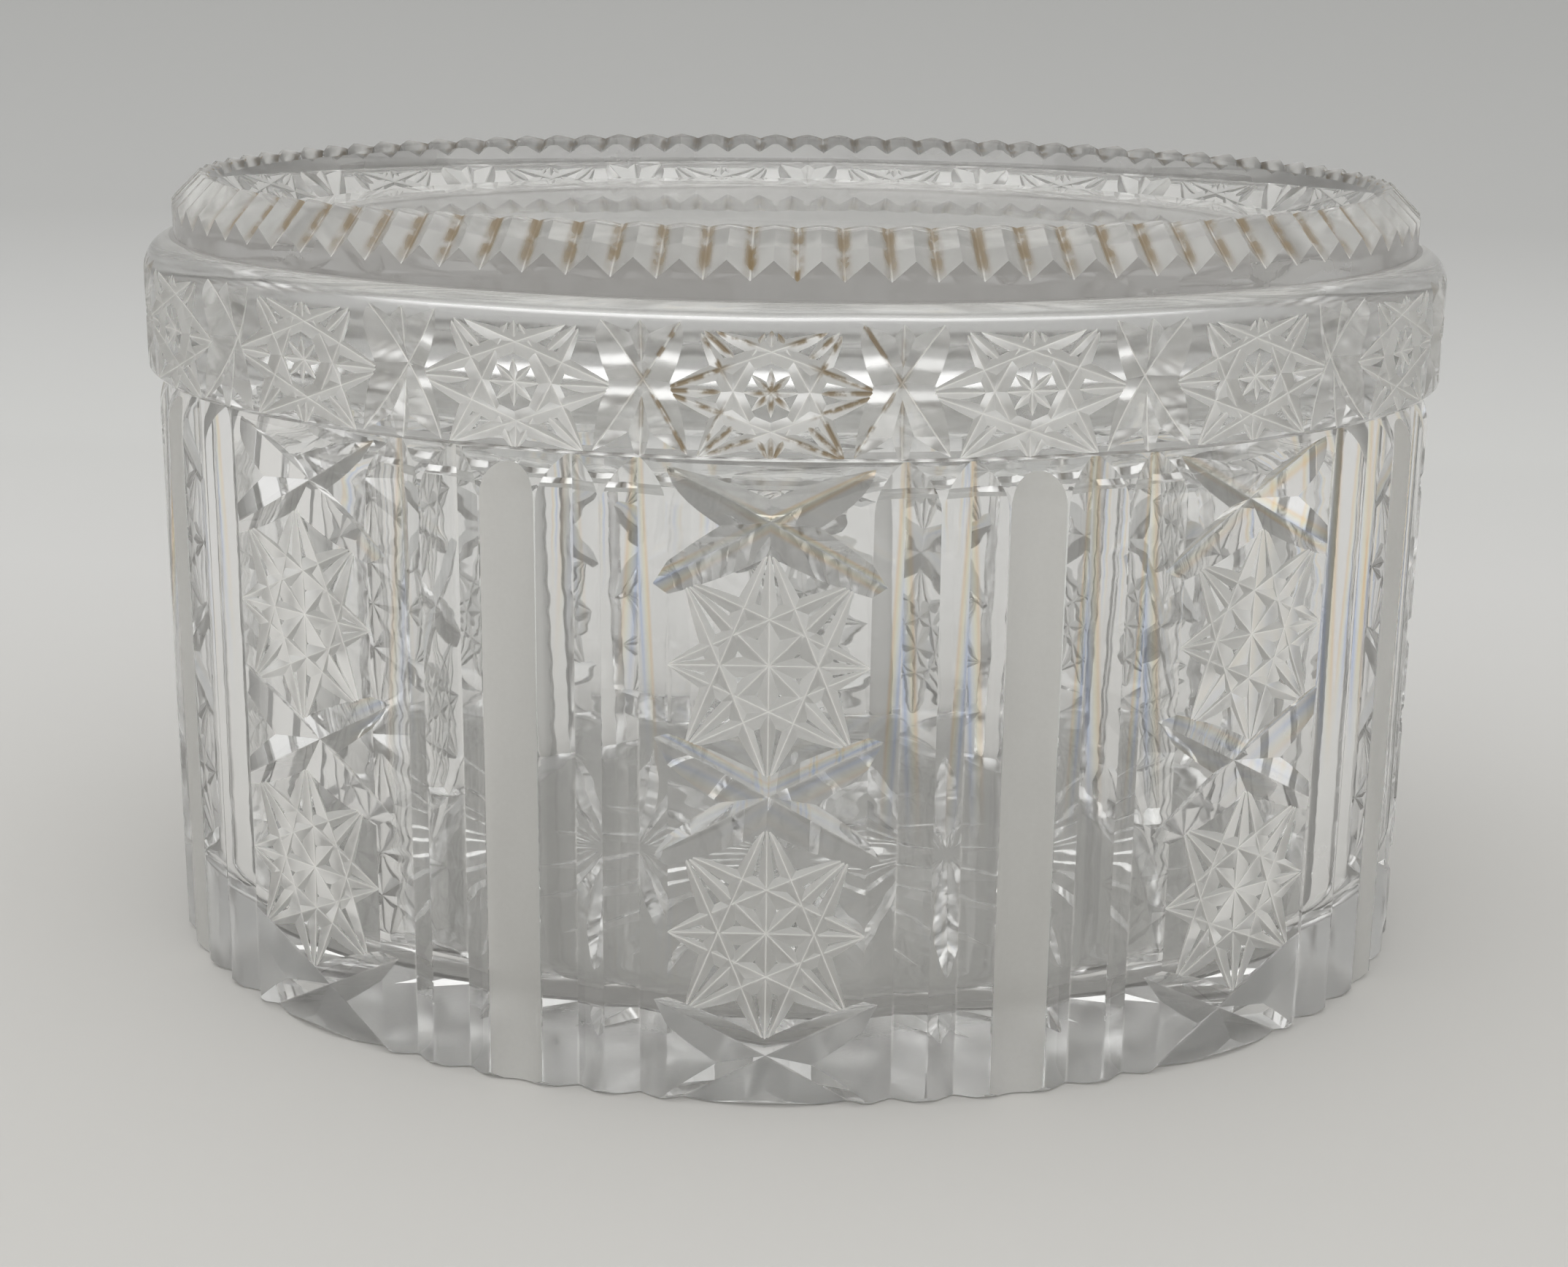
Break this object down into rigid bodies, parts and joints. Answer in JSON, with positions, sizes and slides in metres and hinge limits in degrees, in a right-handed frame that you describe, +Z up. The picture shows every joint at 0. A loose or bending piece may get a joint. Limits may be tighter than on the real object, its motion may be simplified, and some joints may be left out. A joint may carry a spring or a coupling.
{
  "type": "table box",
  "caption": "Oval table box in clear cut crystal: a thick fluted tub with stars and mitre crosses, and a loose lid with a flange, a cut band, a notched rim and a dished top.",
  "frame": {"origin": "under the middle of the tub, on the surface that it stands on", "axes": "+X along the oval's length, -Y towards the front, +Z up"},
  "size_m": [0.2, 0.163, 0.1191],
  "materials": {
    "crystal": "cut and polished colourless crystal with matt flutes"
  },
  "bodies": {
    "tub": {"box_body": "crystal"},
    "lid": {"lid": "crystal"}
  },
  "joints": [
    {"name": "lid_lift", "type": "slide", "parent": "tub", "child": "lid", "axis": [0, 0, 1], "range_m": [0, 0.15]}
  ]
}
